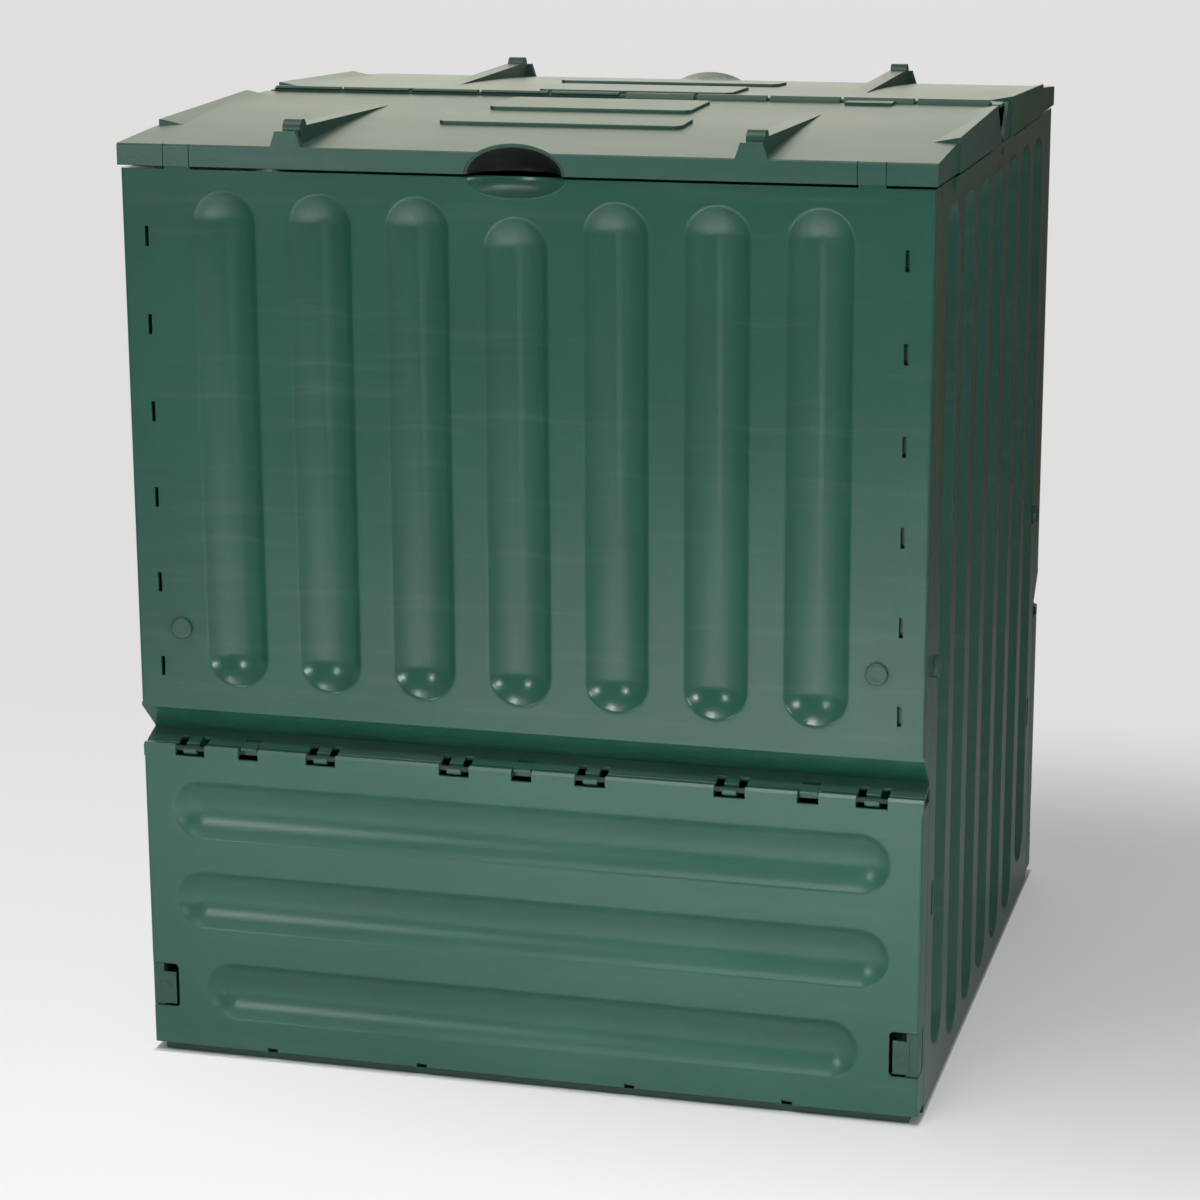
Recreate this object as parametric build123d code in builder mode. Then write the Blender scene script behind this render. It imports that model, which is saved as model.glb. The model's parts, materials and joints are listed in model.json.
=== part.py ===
import os
from math import cos, pi, radians, sin, sqrt

from build123d import *

os.makedirs("parts", exist_ok=True)

# main sizes of the bin
width = 800.0
depth = 800.0
wall_top = 916.0
waist_top = 372.5
flap_top = 333.5
flap_low = 10.0
wall = 3.5
tray = 36.0
corner_round = 3.0

# lid
lid_over = 3.0
lid_side_over = 2.0
lid_gap = 3.0
skirt = 21.0
lid_rise = 15.5
edge_round = 2.5
strip_lift = 5.0
strip_out = 2.4
strip_wide = 28.0
strip_in = 50.0
strip_back = 113.0
rib_edge = 172.0
rib_wide = 18.0
rib_run = 328.0
rib_roll = 9.5
rib_up = 15.0
hand_half = 47.5
hand_up = 26.5
hand_deep = 51.0
plaque_lift = 3.0
plaque_corner = 6.0

# flutes, flat floored with sloping walls
flute_wide = 66.0
flute_deep = 15.0
flute_slope = 18.0
flute_edge = 106.0
flute_end = 19.0
flute_count = 7
end_facets = 6
flap_flute_wide = 63.0
flap_flute_deep = 14.0
flap_flute_edge = 29.0
flap_flute_first = 67.5
flap_flute_pitch = 96.6
flap_foot = 17.5

# fits and clearances
seam = 0.5
run = 0.08
swing = 0.5
hinge_gap = 1.5

# derived limits, front and right at the origin's minus Y and plus X
hx = width / 2
hy = depth / 2
front = -hy
inner_front = front + wall
inner_side = hx - wall
side_end = hy - tray - seam
flange_thick = 3.0
flange_wide = 54.5
flange_back = side_end - flange_thick
flange_front = flange_back - flange_thick
flange_in = inner_side - flange_wide
skirt_low = wall_top + lid_gap
eave = skirt_low + skirt
lid_y = hy + lid_over
lid_x = hx + lid_side_over
ridge = eave + lid_rise
arch_radius = (lid_y ** 2 + lid_rise ** 2) / (2 * lid_rise)
arch_centre = ridge - arch_radius
strip_end = lid_y - strip_back
rib_at = hx - rib_edge

# lid hinge on the ridge bar's rod
rod_r = 2.5
barrel = 4.8
rod_z = ridge + 0.5
lid_edge = barrel + 0.2 + hinge_gap
knuckle_count = 5
knuckle_gap = 4.0

# flap hinge inside the flap's top bead
bead = 4.5
pin_r = 2.5
pin_facets = 12
pin_z = flap_top - bead
pin_y = front + bead
lip_y = pin_y + bead + 2 * swing
lip_thick = 3.0
lip_low = pin_z - 4.0
vee_y = front + tray - seam - lip_thick
vee_z = flap_top + 9.0
notch_half = 15.5
notch_low = pin_z - 7.0
hook_half = 7.0
snap_half = 8.5
hinge_edge = 50.0
hinge_half = 70.0
group_pitch = hx - hinge_edge - hinge_half
snap_shift = 7.5

# snap slots, plugs and ridge bar seat
slot_x = hx - 25.0
slot_wide = 4.0
slot_tall = 20.0
slot_count = 6
slot_high = wall_top - 66.0
slot_low = waist_top + 43.5
plug_r = 11.0
plug_high = 4.5
plug_facets = 8
shank = 8.0
plug_x = hx - 47.0
plug_y = side_end - 18.5
plug_z = waist_top + 84.0
plug_drop = 4.0
spigot_r = 4.4
spigot_z = wall_top - 6.0

# latch window in the flap's lower corners
window_in = hx - 29.0
window_low = flap_low + 40.0
window_high = window_low + 47.0
window_corner = 3.0
latch_x = hx - 10.0
latch_y = front + 12.0
trunnion_r = 2.0
lug = 4.0


def slab(x, y, z, mode=Mode.ADD):
    """Box between two limits on each axis."""
    with Locations(((x[0] + x[1]) / 2, (y[0] + y[1]) / 2, (z[0] + z[1]) / 2)):
        Box(abs(x[1] - x[0]), abs(y[1] - y[0]), abs(z[1] - z[0]), mode=mode)


def prism(points, x, mode=Mode.ADD):
    """Outline in Y and Z carried along X."""
    with BuildSketch(Plane.YZ.offset(min(x))) as face:
        with BuildLine():
            Polyline(*points, close=True)
        make_face()
    extrude(face.sketch, amount=abs(x[1] - x[0]), mode=mode)


def rod(y, z, radius, x, mode=Mode.ADD):
    """Round bar or hole along X."""
    with BuildSketch(Plane.YZ.offset(min(x))) as face:
        with Locations((y, z)):
            Circle(radius)
    extrude(face.sketch, amount=abs(x[1] - x[0]), mode=mode)


def pin(y, z, radius, x):
    """Small hinge pin along X, many sided."""
    with BuildSketch(Plane.YZ.offset(min(x))) as face:
        with Locations((y, z)):
            RegularPolygon(radius, pin_facets)
    extrude(face.sketch, amount=abs(x[1] - x[0]))


def bore(y, z, radius, x):
    """Eight-sided hole along X whose flats touch a round of that radius."""
    with BuildSketch(Plane.YZ.offset(min(x))) as face:
        with Locations((y, z)):
            RegularPolygon(radius, 8, major_radius=False, rotation=22.5)
    extrude(face.sketch, amount=abs(x[1] - x[0]), mode=Mode.SUBTRACT)


def round_ended(u, low, high, wide, level):
    """Upright or level outline with faceted round ends, all facets touching the true round."""
    r = wide / 2
    reach = r / cos(pi / (2 * end_facets))
    turns = [(k + 0.5) * pi / end_facets for k in range(end_facets)]
    top = [(u + reach * cos(t), high - r + reach * sin(t)) for t in turns]
    bottom = [(u - reach * cos(t), low + r - reach * sin(t)) for t in turns]
    points = top + bottom
    return [(b, a) for a, b in points] if level else points


def square_ended(u, low, high, wide, level):
    """Upright or level rectangle."""
    r = wide / 2
    points = [(u + r, low), (u + r, high), (u - r, high), (u - r, low)]
    return [(b, a) for a, b in points] if level else points


def frustum(plane, near, far, deep):
    """Flat-sided block between an outline on a plane and a matching one further along its normal."""
    low = [plane.from_local_coords((u, v, 0)) for u, v in near]
    high = [plane.from_local_coords((u, v, deep)) for u, v in far]
    turn = low[1:] + low[:1]
    climb = high[1:] + high[:1]
    sides = [Face(Wire.make_polygon(ring)) for ring in zip(low, turn, climb, high)]
    ends = [Face(Wire.make_polygon(low)), Face(Wire.make_polygon(high))]
    return Solid(Shell(sides + ends))


def flutes(plane, rows, wide, deep, level=False):
    """Sloping channels sunk in a panel, with a thin skin behind them."""
    lean = flute_slope / deep
    skin = wall * sqrt(1 + lean ** 2)
    back_lean = lean * (deep + wall)
    for u, low, high in rows:
        near = square_ended(u, low - skin, high + skin, wide + 2 * skin, level)
        far_wide = wide + 2 * skin - 2 * back_lean
        far = square_ended(u, low - skin + back_lean, high + skin - back_lean, far_wide, level)
        add(frustum(plane, near, far, deep + wall))
    for u, low, high in rows:
        near = round_ended(u, low, high, wide, level)
        far = round_ended(u, low + flute_slope, high - flute_slope, wide - 2 * flute_slope, level)
        add(frustum(plane, near, far, deep), mode=Mode.SUBTRACT)


def arch_z(y, lift=0.0):
    """Height of the lid's arched top."""
    return arch_centre + sqrt((arch_radius + lift) ** 2 - y ** 2)


def arch_block(x, y, lift, low, mode=Mode.ADD):
    """Block with the lid's arch as its top, raised by a lift."""
    a, b = y
    mid = (a + b) / 2
    with BuildSketch(Plane.YZ.offset(min(x))) as face:
        with BuildLine():
            Line((a, low), (b, low))
            Line((b, low), (b, arch_z(b, lift)))
            ThreePointArc((b, arch_z(b, lift)), (mid, arch_z(mid, lift)), (a, arch_z(a, lift)))
            Line((a, arch_z(a, lift)), (a, low))
        make_face()
    extrude(face.sketch, amount=abs(x[1] - x[0]), mode=mode)


def flute_places(size):
    """Centres of the upright flutes across a panel."""
    pitch = (size - 2 * flute_edge) / (flute_count - 1)
    return [(k - (flute_count - 1) / 2) * pitch for k in range(flute_count)]


def slot_heights():
    """Centres of the snap slots."""
    pitch = (slot_high - slot_low) / (slot_count - 1)
    return [slot_low + k * pitch for k in range(slot_count)]


def hinge_places():
    """Centres of the six flap hinges."""
    return [g * group_pitch + s * hinge_half for g in (-1, 0, 1) for s in (-1, 1)]


def snap_places():
    """Centres of the three snap noses between the hinges."""
    return [g * (group_pitch + snap_shift) for g in (-1, 0, 1)]


into_front = Plane(origin=(0, front, 0), x_dir=(-1, 0, 0), z_dir=(0, 1, 0))
into_side = Plane(origin=(hx, 0, 0), x_dir=(0, -1, 0), z_dir=(-1, 0, 0))
flute_top = wall_top - flute_end
flute_low = waist_top + 26.0
dish_drop = 17.0

# upper front wall
with BuildPart() as front_wall:
    slab((-hx, hx), (front, inner_front), (waist_top, wall_top))
    corner = ((front, wall_top), (front + tray, wall_top), (front + tray, vee_z + 2), (front, waist_top))
    for s in (-1, 1):
        prism(corner, (s * inner_side, s * hx))
    upright = front_wall.edges().filter_by(Axis.Z).filter_by_position(Axis.Y, front - 0.1, front + 0.1)
    fillet(upright, corner_round)
    rows = [(x, flute_low, flute_top - (dish_drop if abs(x) < 1 else 0)) for x in flute_places(width)]
    flutes(into_front, rows, flute_wide, flute_deep)
    # waist shoulder, shelf and hinge lip in one folded strip
    prism(
        (
            (front, waist_top),
            (vee_y, vee_z),
            (lip_y, flap_top),
            (lip_y, lip_low),
            (lip_y + lip_thick, lip_low),
            (lip_y + lip_thick, flap_top - 2.4),
            (vee_y + lip_thick, vee_z - 3.0),
            (vee_y + lip_thick, vee_z + 2.0),
            (inner_front, waist_top + 4.0),
            (front, waist_top + 4.0),
        ),
        (-hx, hx),
    )
    # top flange
    slab((-inner_side, inner_side), (inner_front, front + 18.0), (wall_top - wall, wall_top))
    # hand dish in the top edge
    with BuildSketch(Plane.XZ.offset(-front - 19.5)):
        with Locations((0, wall_top)):
            Ellipse(hand_half + 5.0, 22.5)
        with Locations((0, wall_top + 20)):
            Rectangle(3 * hand_half, 40, mode=Mode.SUBTRACT)
    extrude(amount=19.5)
    for back, small in ((0.0, 0.0), (16.0, 6.0)):
        with BuildSketch(Plane.XZ.offset(-front - back)):
            with Locations((0, wall_top)):
                Ellipse(hand_half + 1.5 - small, 19.0 - small)
    loft(mode=Mode.SUBTRACT)
    # snap slots, plug holes and rest pads under the lid's snap tongues
    for s in (-1, 1):
        through = (front - 1, inner_front + 1)
        for z in slot_heights():
            across = (s * (slot_x - slot_wide / 2), s * (slot_x + slot_wide / 2))
            slab(across, through, (z - slot_tall / 2, z + slot_tall / 2), Mode.SUBTRACT)
        hole = shank / 2 + run
        slab((s * plug_x - hole, s * plug_x + hole), through, (plug_z - hole, plug_z + hole), Mode.SUBTRACT)
        slab((s * (hx - 72), s * (hx - 46)), (front, inner_front), (wall_top - 1, skirt_low - 0.4))
    # hinge hooks under the flap pins with open wells beside them
    for x in hinge_places():
        across = (x - hook_half, x + hook_half)
        for s in (-1, 1):
            well = (x + s * hook_half, x + s * notch_half)
            slab(well, (lip_y - 1, lip_y + 11), (pin_z + 0.5, vee_z), Mode.SUBTRACT)
        hook = (
            (lip_y + 1, pin_z + 1),
            (lip_y + 1, pin_z - 5.4),
            (pin_y - 2.4, pin_z - 5.4),
            (pin_y - 4.4, pin_z - 3),
            (pin_y - 4.4, pin_z + 1),
        )
        prism(hook, across)
        bore(pin_y, pin_z, pin_r + run, across)
        slab(across, (pin_y - pin_r - run, pin_y + pin_r + run), (pin_z, pin_z + 2), Mode.SUBTRACT)
    # snap noses over the bead
    for x in snap_places():
        slab((x - snap_half, x + snap_half), (lip_y + 8, lip_y + 13), (lip_low, vee_z + 1), Mode.SUBTRACT)
        tip_y = front + 3
        root_y = lip_y + 2
        nose = ((root_y, flap_top + 2.5), (tip_y, flap_top), (tip_y, flap_top - 2), (root_y, flap_top - 5))
        prism(nose, (x - snap_half, x + snap_half))
front_wall.part.label = "front_wall"
export_step(front_wall.part, "parts/front_wall.step")

with BuildPart() as rear_wall:
    add(front_wall.part, rotation=(0, 0, 180))
rear_wall.part.label = "rear_wall"
export_step(rear_wall.part, "parts/rear_wall.step")

# side wall, full height
foot_flute = 19.0
corner_flute = 45.0
with BuildPart() as right_wall:
    slab((inner_side, hx), (-side_end, side_end), (0, wall_top))
    places = flute_places(depth)
    rows = [(y, corner_flute if y in (places[0], places[-1]) else foot_flute, flute_top) for y in places]
    flutes(into_side, rows, flute_wide, flute_deep)
    # corner flanges with snap arms, foot and top rim
    for s in (-1, 1):
        slab((flange_in, inner_side), (s * flange_front, s * flange_back), (0, wall_top - wall - 1))
        slab((inner_side - 6, inner_side), (s * side_end, s * (flange_back - 1)), (0, wall_top - wall - 1))
        for z in slot_heights():
            tip = -inner_front - 3
            tall = (z - slot_tall / 2 + 2, z + slot_tall / 2 - 2)
            slab((slot_x - 1.3, slot_x + 1.3), (s * (flange_back - 1), s * tip), tall)
            prism_x = (slot_x - 3.4, slot_x - 1.3)
            slab(prism_x, (s * (tip - 6), s * tip), tall)
        slab((inner_side - 12, inner_side), (s * 34, s * (flange_back - 1)), (wall_top - wall, wall_top))
    slab((inner_side - 20, inner_side), (-flange_back + 1, flange_back - 1), (0, 4))
    # rim band and ridge ear
    band = strip_end + 6.0
    slab((hx, hx + strip_out), (-band, band), (wall_top - 14, wall_top))
    ear = ((-80, wall_top - 1), (80, wall_top - 1), (74, skirt_low - 0.5), (-74, skirt_low - 0.5))
    prism(ear, (inner_side, hx + strip_out))
    # holes for the ridge bar, plugs and rail tabs, finger pockets beside the flaps
    bore(0, spigot_z, spigot_r + run, (inner_side - 1, hx + strip_out + 1))
    for s in (-1, 1):
        hole = shank / 2 + run
        side_z = plug_z - plug_drop
        across = (s * plug_y - hole, s * plug_y + hole)
        slab((inner_side - 1, hx + 1), across, (side_z - hole, side_z + hole), Mode.SUBTRACT)
        through = (s * (flange_back + 1), s * (flange_front - 1))
        slab((plug_x - hole, plug_x + hole), through, (plug_z - hole, plug_z + hole), Mode.SUBTRACT)
        slab((hx - 52, hx - 25), through, (0.6, 7.4), Mode.SUBTRACT)
        slab((hx - 2, hx + 1), (s * (plug_y - 12), s * (plug_y - 3)), (198, 234), Mode.SUBTRACT)
right_wall.part.label = "right_wall"
export_step(right_wall.part, "parts/right_wall.step")

with BuildPart() as left_wall:
    add(right_wall.part, rotation=(0, 0, 180))
left_wall.part.label = "left_wall"
export_step(left_wall.part, "parts/left_wall.step")

# ground rail under the flap
rail_back = -flange_back - seam
with BuildPart() as front_sill:
    slab((-inner_side + 6, inner_side - 6), (front + 8, rail_back), (0, 7))
    slab((-inner_side + 9, inner_side - 9), (front + 11, rail_back - 3), (-1, 4), Mode.SUBTRACT)
    for s in (-1, 1):
        slab((s * (hx - 50), s * (hx - 27)), (rail_back - 1, -flange_front), (1.2, 6.8))
front_sill.part.label = "front_sill"
export_step(front_sill.part, "parts/front_sill.step")

with BuildPart() as rear_sill:
    add(front_sill.part, rotation=(0, 0, 180))
rear_sill.part.label = "rear_sill"
export_step(rear_sill.part, "parts/rear_sill.step")

# tie bar under the lid seam
with BuildPart() as ridge_bar:
    slab((-inner_side + 12, inner_side - 12), (-10, 10), (wall_top - 11, wall_top - 5))
    slab((-hx + 10, hx - 10), (-1.2, 1.2), (wall_top - 6, rod_z - 1))
    rod(0, rod_z, rod_r, (-hx + 10, hx - 10))
    for s in (-1, 1):
        slab((s * (inner_side - 12), s * (inner_side - 0.4)), (-28, 28), (wall_top - 12, wall_top))
        pin(0, spigot_z, spigot_r, (s * (inner_side - 1), s * (inner_side + 2)))
ridge_bar.part.label = "ridge_bar"
export_step(ridge_bar.part, "parts/ridge_bar.step")

# front half of the lid
open_a = radians(35)
open_b = radians(-128)
knuckle = (
    (-lid_edge - 1, ridge),
    (-barrel, rod_z + 1.6),
    (-1.9, rod_z + barrel),
    (1.9, rod_z + barrel),
    (barrel * cos(open_a), rod_z + barrel * sin(open_a)),
    (0, rod_z),
    (4 * cos(open_b) / -sin(open_b), ridge - wall),
    (-lid_edge - 1, ridge - wall),
)
knuckle_pitch = (hx - 12.0) / knuckle_count
with BuildPart() as front_lid:
    arch_block((-lid_x, lid_x), (-lid_y, -lid_edge), 0, skirt_low)
    brow = front_lid.edges().filter_by(Axis.X).filter_by_position(Axis.Y, -lid_y - 1, -lid_y + 1)
    fillet(brow.filter_by_position(Axis.Z, eave - 1, eave + 1), edge_round)
    # end strips whose tops rise outward from nothing
    for s in (-1, 1):
        outer = s * (lid_x + strip_out)
        inner = s * (lid_x - strip_wide)
        arch_block((s * (lid_x - 1), outer), (-strip_end, -strip_in), 0, skirt_low)
        ends = []
        for y in (strip_end, strip_in):
            top = arch_z(y)
            peak = (-outer, top + strip_lift)
            ends.append(((-inner, top - 3), (-outer, top - 3), peak, (-inner, top - 0.8)))
        add(frustum(into_front.offset(lid_y - strip_end - lid_over), *ends, strip_end - strip_in))
    # hand hood
    for back, small in ((0.0, 0.0), (hand_deep + 4.0, 8.7)):
        with BuildSketch(Plane.XZ.offset(lid_y - back)):
            with Locations((0, skirt_low)):
                Ellipse(hand_half + wall - small, hand_up + wall - small)
            with Locations((0, skirt_low - 20)):
                Rectangle(3 * hand_half, 40, mode=Mode.SUBTRACT)
    loft()
    # hollow under the top
    arch_block((-lid_x + wall, lid_x - wall), (-lid_y + wall, 1), -wall, skirt_low - 20, Mode.SUBTRACT)
    # wedge ribs with a roll and an end plate
    for s in (-1, 1):
        x = s * rib_at
        roll_y = -lid_y + 27.5
        tail = roll_y + rib_run - 27.5
        with BuildSketch(Plane.YZ.offset(x - rib_wide / 2)):
            with BuildLine():
                Polyline(
                    (tail, arch_z(tail) - 1.5),
                    (roll_y, eave + rib_up + 3.0),
                    (roll_y, eave - 1.0),
                    ((tail + roll_y) / 2, arch_z((tail + roll_y) / 2) - 2.0),
                    close=True,
                )
            make_face()
            with Locations((roll_y, eave + rib_up)):
                Circle(rib_roll)
            with Locations(((roll_y - lid_y) / 2, eave + 3.5)):
                Rectangle(lid_y + roll_y, 9.0)
        extrude(amount=rib_wide)
        foot = rib_wide / 2 + 7.5
        head = rib_wide / 2 + 1.5
        with BuildSketch(Plane.XZ.offset(lid_y)):
            with BuildLine():
                Polyline(
                    (x - foot, eave - 3),
                    (x + foot, eave - 3),
                    (x + head, eave + rib_up),
                    (x - head, eave + rib_up),
                    close=True,
                )
            make_face()
        extrude(amount=-7.0)
    # hand cut-out
    for back, small in ((0.0, 0.0), (hand_deep, 8.0)):
        with BuildSketch(Plane.XZ.offset(lid_y - back)):
            with Locations((0, skirt_low)):
                Ellipse(hand_half - small, hand_up - small)
    loft(mode=Mode.SUBTRACT)
    # bare plaques on the slope
    for at, long, deep in ((222.0, 248.0, 55.0), (91.0, 212.0, 92.0)):
        tilt = (0, -at / arch_radius, sqrt(1 - (at / arch_radius) ** 2))
        slope = Plane(origin=(0, -at, arch_z(at)), x_dir=(1, 0, 0), z_dir=tilt)
        with BuildSketch(slope.offset(-2.0)) as plate:
            Rectangle(long, deep)
            chamfer(plate.vertices(), plaque_corner)
        extrude(amount=plaque_lift + 2.0)
    # raised tab and hinge knuckles along the ridge
    arch_block((hx - 157, hx - 108), (-31, -lid_edge), plaque_lift, ridge - 3)
    for k in range(knuckle_count):
        span = (knuckle_gap + k * knuckle_pitch, (k + 1) * knuckle_pitch)
        prism(knuckle, span)
        bore(0, rod_z, rod_r + run, span)
    # slits beside the snap tongues and slanted skirt ends at the ridge
    for s in (-1, 1):
        for x in (hx - 73, hx - 46.2):
            through = (-lid_y - 4, -lid_y + wall + 1)
            slab((s * x, s * (x + 0.8)), through, (skirt_low - 1, eave + 2), Mode.SUBTRACT)
        vee = ((-lid_edge + 0.1, skirt_low + 4), (-strip_in + 6, ridge + 9), (-lid_edge + 0.1, ridge + 9))
        prism(vee, (s * (lid_x - wall - 1), s * (lid_x + strip_out + 1)), Mode.SUBTRACT)
front_lid.part.label = "front_lid"
export_step(front_lid.part, "parts/front_lid.step")

with BuildPart() as rear_lid:
    add(front_lid.part, rotation=(0, 0, 180))
rear_lid.part.label = "rear_lid"
export_step(rear_lid.part, "parts/rear_lid.step")

# front flap
with BuildPart() as front_flap:
    slab((-hx, hx), (front, inner_front), (flap_low, pin_z))
    for s in (-1, 1):
        slab((s * inner_side, s * hx), (front, front + tray - seam), (flap_low, lip_low - 1))
    upright = front_flap.edges().filter_by(Axis.Z).filter_by_position(Axis.Y, front - 0.1, front + 0.1)
    fillet(upright, corner_round)
    slab((-inner_side, inner_side), (front + 1, front + flap_foot), (flap_low, flap_low + wall))
    rows = []
    for k in range(3):
        z = flap_top - flap_flute_first - k * flap_flute_pitch
        end = hx - flap_flute_edge * (2 if k == 2 else 1)
        rows.append((z, -end, end))
    flutes(into_front, rows, flap_flute_wide, flap_flute_deep, level=True)
    # chamfered top bead, round the hinge line
    flat = bead * 0.42
    prism(
        (
            (front, pin_z - 2 * bead),
            (front, pin_z + flat),
            (pin_y - flat, flap_top),
            (pin_y + flat, flap_top),
            (pin_y + bead, pin_z + flat),
            (pin_y + bead, pin_z - flat),
            (inner_front, pin_z - 1.5 * bead),
            (inner_front, pin_z - 2 * bead),
        ),
        (-hx, hx),
    )
    for x in hinge_places():
        across = (x - notch_half, x + notch_half)
        slab(across, (front - 1, pin_y + 6), (notch_low, flap_top + 1), Mode.SUBTRACT)
    for x in snap_places():
        across = (x - snap_half - 2, x + snap_half + 2)
        slab(across, (front - 1, pin_y + 6), (notch_low, flap_top + 1), Mode.SUBTRACT)
    # drain notches in the lower edge
    for x in (109.0, hx - 130.0):
        for s in (-1, 1):
            across = (s * x - 5.5, s * x + 5.5)
            slab(across, (front - 1, front + 8), (flap_low - 1, flap_low + 4.5), Mode.SUBTRACT)
    # latch windows open to the side, with trunnion lugs behind
    for s in (-1, 1):
        middle = (window_low + window_high) / 2
        with BuildSketch(Plane.XZ.offset(-inner_front - 1)) as window:
            with Locations((s * (window_in + 25), middle)):
                Rectangle(50, window_high - window_low)
            chamfer(window.vertices(), window_corner)
        extrude(amount=wall + 2, mode=Mode.SUBTRACT)
        edge = (s * (inner_side - 1), s * (hx + 1))
        slab(edge, (front - 1, front + 26), (window_low, window_high), Mode.SUBTRACT)
        for z in ((window_low - lug - 0.5, window_low - 0.5), (window_high + 0.5, window_high + lug + 0.5)):
            slab((s * (latch_x - 4), s * (latch_x + 4)), (inner_front - 1, latch_y + 4), z)
            with BuildSketch(Plane.XY.offset(z[0])):
                with Locations((s * latch_x, latch_y)):
                    RegularPolygon(trunnion_r + run, 8, major_radius=False, rotation=22.5)
            extrude(amount=lug, mode=Mode.SUBTRACT)
front_flap.part.label = "front_flap"
export_step(front_flap.part, "parts/front_flap.step")

with BuildPart() as rear_flap:
    add(front_flap.part, rotation=(0, 0, 180))
rear_flap.part.label = "rear_flap"
export_step(rear_flap.part, "parts/rear_flap.step")

# hinge pins across the flap's notches
with BuildPart() as front_flap_pins:
    for x in hinge_places():
        pin(pin_y, pin_z, pin_r, (x - notch_half, x + notch_half))
front_flap_pins.part.label = "front_flap_pins"
export_step(front_flap_pins.part, "parts/front_flap_pins.step")

with BuildPart() as rear_flap_pins:
    add(front_flap_pins.part, rotation=(0, 0, 180))
rear_flap_pins.part.label = "rear_flap_pins"
export_step(rear_flap_pins.part, "parts/rear_flap_pins.step")


def latch(s):
    """Press tongue with its strap, trunnion and nose arm, on one side."""
    low = window_low + 1.0
    high = window_high - 1.0
    tongue = (s * (window_in + 3.5), s * (hx - 9))
    slab(tongue, (front + 0.7, front + 3.7), (window_low + 3, window_high - 10))
    slab((s * (hx - 12), s * (hx - 0.4)), (front + 1.7, front + 4.7), (low, high))
    slab((s * (hx - 3.4), s * (hx - 0.4)), (front + 1.7, front + 24), (low, high))
    slab((s * (latch_x - 1.4), s * (latch_x + 1.4)), (front + 4, front + 32), (low + 4, high - 4))
    with BuildSketch(Plane.XY.offset(window_low - lug)) as bar:
        with Locations((s * latch_x, latch_y)):
            RegularPolygon(trunnion_r, pin_facets)
    extrude(bar.sketch, amount=window_high - window_low + 2 * lug)
    # arrow rib on the tongue
    x = window_in + 6.5
    z = (window_low + window_high) / 2 - 4
    with BuildSketch(Plane.XZ.offset(-front - 0.8)) as face:
        with BuildLine():
            Polyline((s * x, z), (s * (x + 9), z + 8), (s * (x + 9), z - 8), close=True)
        make_face()
    extrude(face.sketch, amount=0.7)


with BuildPart() as front_right_latch:
    latch(1)
front_right_latch.part.label = "front_right_latch"
export_step(front_right_latch.part, "parts/front_right_latch.step")

with BuildPart() as front_left_latch:
    latch(-1)
front_left_latch.part.label = "front_left_latch"
export_step(front_left_latch.part, "parts/front_left_latch.step")

with BuildPart() as rear_left_latch:
    add(front_right_latch.part, rotation=(0, 0, 180))
rear_left_latch.part.label = "rear_left_latch"
export_step(rear_left_latch.part, "parts/rear_left_latch.step")

with BuildPart() as rear_right_latch:
    add(front_left_latch.part, rotation=(0, 0, 180))
rear_right_latch.part.label = "rear_right_latch"
export_step(rear_right_latch.part, "parts/rear_right_latch.step")

# low domed push plugs with square shanks
def ring(radius):
    """Points of a plug head's outline."""
    turns = [k * pi / plug_facets for k in range(2 * plug_facets)]
    return [(radius * cos(t), radius * sin(t)) for t in turns]


def plug(base, out, length):
    """Domed head on a face with a square shank behind it."""
    face = Plane(origin=base, x_dir=(0, 0, 1), z_dir=out)
    add(frustum(face, ring(plug_r), ring(plug_r - 3.0), plug_high - 1.5))
    add(frustum(face.offset(plug_high - 1.5), ring(plug_r - 3.0), ring(plug_r - 7.0), 1.5))
    with BuildSketch(face) as peg:
        Rectangle(shank, shank)
    extrude(peg.sketch, amount=-length)


with BuildPart() as front_wall_plugs:
    for s in (-1, 1):
        plug((s * plug_x, front, plug_z), (0, -1, 0), hy - flange_front)
front_wall_plugs.part.label = "front_wall_plugs"
export_step(front_wall_plugs.part, "parts/front_wall_plugs.step")

with BuildPart() as rear_wall_plugs:
    add(front_wall_plugs.part, rotation=(0, 0, 180))
rear_wall_plugs.part.label = "rear_wall_plugs"
export_step(rear_wall_plugs.part, "parts/rear_wall_plugs.step")

with BuildPart() as right_wall_plugs:
    for s in (-1, 1):
        plug((hx, s * plug_y, plug_z - plug_drop), (1, 0, 0), wall + 9)
right_wall_plugs.part.label = "right_wall_plugs"
export_step(right_wall_plugs.part, "parts/right_wall_plugs.step")

with BuildPart() as left_wall_plugs:
    add(right_wall_plugs.part, rotation=(0, 0, 180))
left_wall_plugs.part.label = "left_wall_plugs"
export_step(left_wall_plugs.part, "parts/left_wall_plugs.step")
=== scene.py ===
"""Looks of the split-lid compost bin: moulded plastic skins, fluted panels, studio and camera."""
import json
import logging
import math
from dataclasses import dataclass
from enum import Enum

import bpy
from mathutils import Euler, Matrix, Vector


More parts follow.
